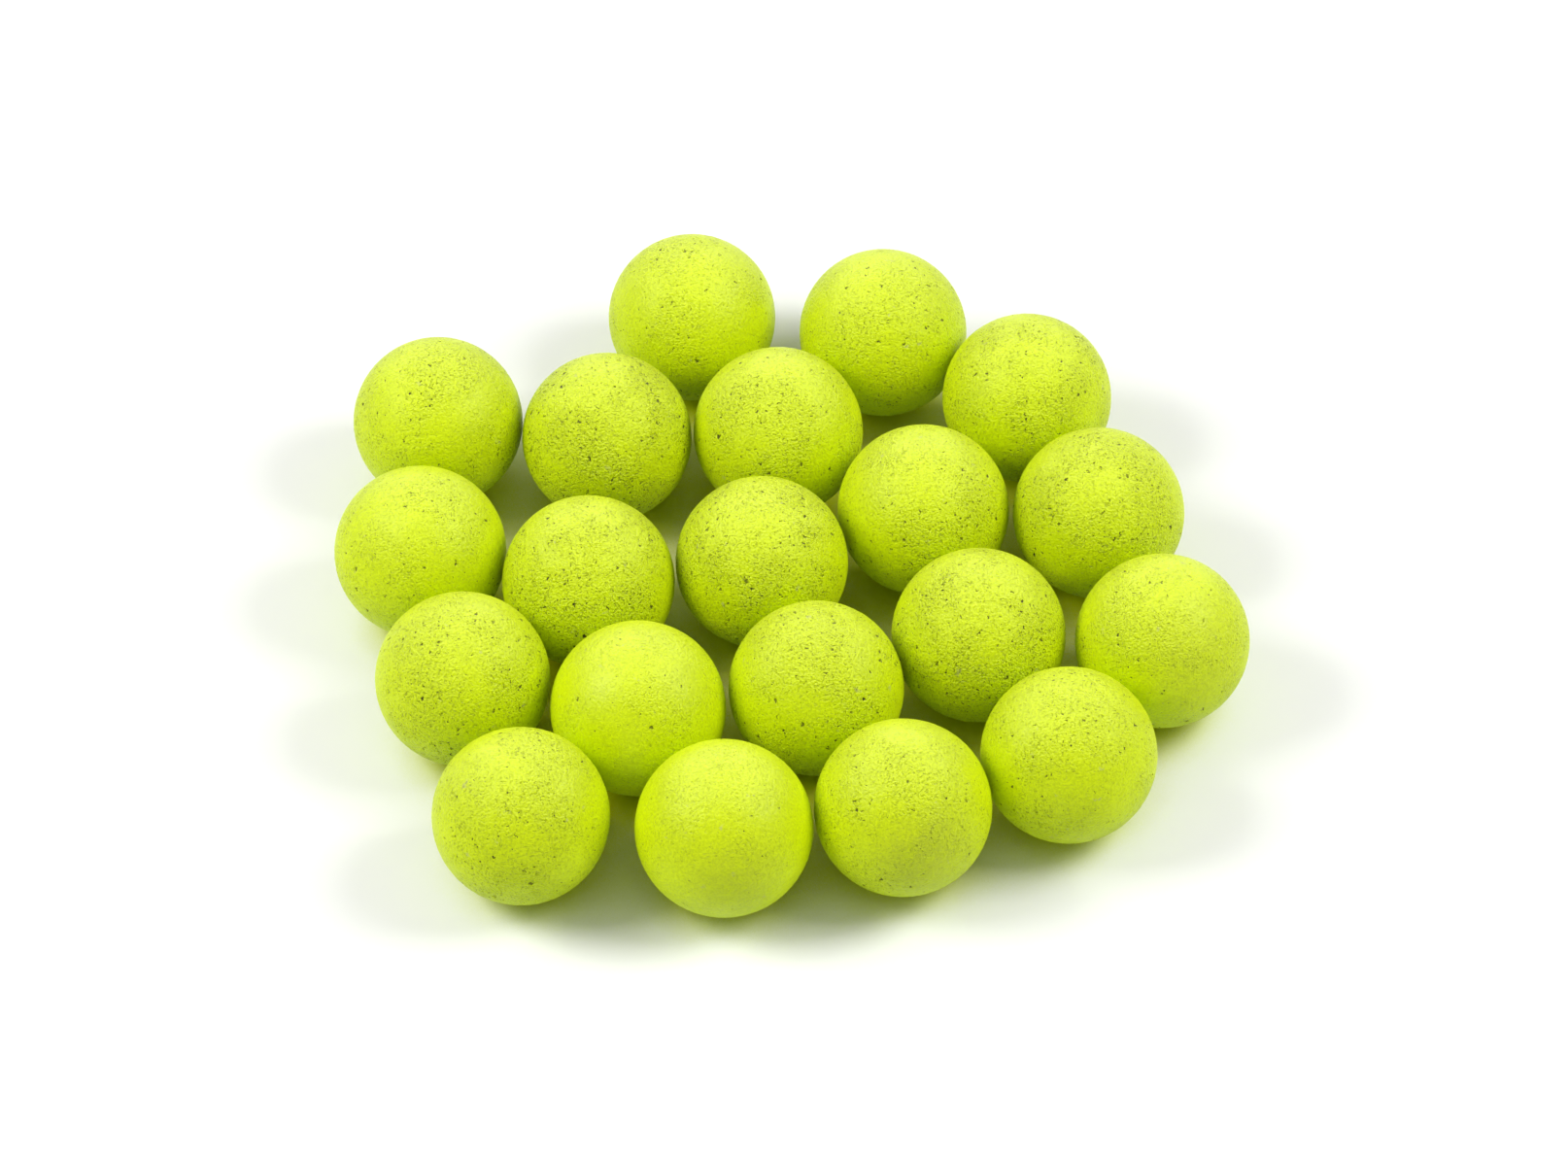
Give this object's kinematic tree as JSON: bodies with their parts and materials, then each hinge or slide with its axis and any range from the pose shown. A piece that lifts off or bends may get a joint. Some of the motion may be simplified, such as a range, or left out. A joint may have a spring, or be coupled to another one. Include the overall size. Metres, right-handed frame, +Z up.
{
  "type": "foosball ball set",
  "caption": "Loose set of solid painted cork balls for table football, resting together on a flat surface, each ball free to roll.",
  "frame": {"origin": "on the surface that the balls lie on, under the middle of the set's box", "axes": "+X to the right and +Y away from the viewer in the picture, +Z up"},
  "size_m": [0.1888, 0.1796, 0.0358],
  "materials": {
    "painted_cork": "satin lime-yellow paint over pressed cork, with dark pores showing through"
  },
  "bodies": {
    "ball_11": {"ball_11": "painted_cork"},
    "ball_01": {"ball_01": "painted_cork"},
    "ball_02": {"ball_02": "painted_cork"},
    "ball_03": {"ball_03": "painted_cork"},
    "ball_04": {"ball_04": "painted_cork"},
    "ball_05": {"ball_05": "painted_cork"},
    "ball_06": {"ball_06": "painted_cork"},
    "ball_07": {"ball_07": "painted_cork"},
    "ball_08": {"ball_08": "painted_cork"},
    "ball_09": {"ball_09": "painted_cork"},
    "ball_10": {"ball_10": "painted_cork"},
    "ball_12": {"ball_12": "painted_cork"},
    "ball_13": {"ball_13": "painted_cork"},
    "ball_14": {"ball_14": "painted_cork"},
    "ball_15": {"ball_15": "painted_cork"},
    "ball_16": {"ball_16": "painted_cork"},
    "ball_17": {"ball_17": "painted_cork"},
    "ball_18": {"ball_18": "painted_cork"},
    "ball_19": {"ball_19": "painted_cork"},
    "ball_20": {"ball_20": "painted_cork"}
  },
  "joints": [
    {"name": "ball_01_roll", "type": "hinge", "parent": "ball_11", "child": "ball_01", "pos_m": [-0.01954, 0.07184, 0.01785], "axis": [-0.9812, -0.1928, 0], "continuous": true},
    {"name": "ball_02_roll", "type": "hinge", "parent": "ball_11", "child": "ball_02", "pos_m": [0.02143, 0.06608, 0.01785], "axis": [-0.9262, 0.3771, 0], "continuous": true},
    {"name": "ball_03_roll", "type": "hinge", "parent": "ball_11", "child": "ball_03", "pos_m": [0.05153, 0.04578, 0.01785], "axis": [-0.6258, 0.78, 0], "continuous": true},
    {"name": "ball_04_roll", "type": "hinge", "parent": "ball_11", "child": "ball_04", "pos_m": [-0.07363, 0.04244, 0.01785], "axis": [-0.5277, -0.8494, 0], "continuous": true},
    {"name": "ball_05_roll", "type": "hinge", "parent": "ball_11", "child": "ball_05", "pos_m": [-0.03778, 0.03676, 0.01785], "axis": [-0.7501, -0.6613, 0], "continuous": true},
    {"name": "ball_06_roll", "type": "hinge", "parent": "ball_11", "child": "ball_06", "pos_m": [-0.00148, 0.03739, 0.01785], "axis": [-0.9944, 0.1055, 0], "continuous": true},
    {"name": "ball_07_roll", "type": "hinge", "parent": "ball_11", "child": "ball_07", "pos_m": [0.02855, 0.01393, 0.01785], "axis": [-0.3773, 0.9261, 0], "continuous": true},
    {"name": "ball_08_roll", "type": "hinge", "parent": "ball_11", "child": "ball_08", "pos_m": [0.06516, 0.01201, 0.01785], "axis": [-0.1666, 0.986, 0], "continuous": true},
    {"name": "ball_09_roll", "type": "hinge", "parent": "ball_11", "child": "ball_09", "pos_m": [-0.07654, 0.00505, 0.01785], "axis": [-0.0698, -0.9976, 0], "continuous": true},
    {"name": "ball_10_roll", "type": "hinge", "parent": "ball_11", "child": "ball_10", "pos_m": [-0.04147, -0.00435, 0.01785], "axis": [0.1219, -0.9925, 0], "continuous": true},
    {"name": "ball_12_roll", "type": "hinge", "parent": "ball_11", "child": "ball_12", "pos_m": [-0.0671, -0.03053, 0.01785], "axis": [0.4446, -0.8957, 0], "continuous": true},
    {"name": "ball_13_roll", "type": "hinge", "parent": "ball_11", "child": "ball_13", "pos_m": [-0.03117, -0.03948, 0.01785], "axis": [0.8383, -0.5452, 0], "continuous": true},
    {"name": "ball_14_roll", "type": "hinge", "parent": "ball_11", "child": "ball_14", "pos_m": [0.00522, -0.03501, 0.01785], "axis": [0.9568, 0.2907, 0], "continuous": true},
    {"name": "ball_15_roll", "type": "hinge", "parent": "ball_11", "child": "ball_15", "pos_m": [0.03887, -0.02142, 0.01785], "axis": [0.4364, 0.8998, 0], "continuous": true},
    {"name": "ball_16_roll", "type": "hinge", "parent": "ball_11", "child": "ball_16", "pos_m": [0.07654, -0.02405, 0.01785], "axis": [0.2823, 0.9593, 0], "continuous": true},
    {"name": "ball_17_roll", "type": "hinge", "parent": "ball_11", "child": "ball_17", "pos_m": [-0.05475, -0.06755, 0.01785], "axis": [0.808, -0.5892, 0], "continuous": true},
    {"name": "ball_18_roll", "type": "hinge", "parent": "ball_11", "child": "ball_18", "pos_m": [-0.01396, -0.07184, 0.01785], "axis": [0.9931, -0.1176, 0], "continuous": true},
    {"name": "ball_19_roll", "type": "hinge", "parent": "ball_11", "child": "ball_19", "pos_m": [0.02207, -0.06742, 0.01785], "axis": [0.926, 0.3775, 0], "continuous": true},
    {"name": "ball_20_roll", "type": "hinge", "parent": "ball_11", "child": "ball_20", "pos_m": [0.05596, -0.05441, 0.01785], "axis": [0.6637, 0.748, 0], "continuous": true}
  ]
}
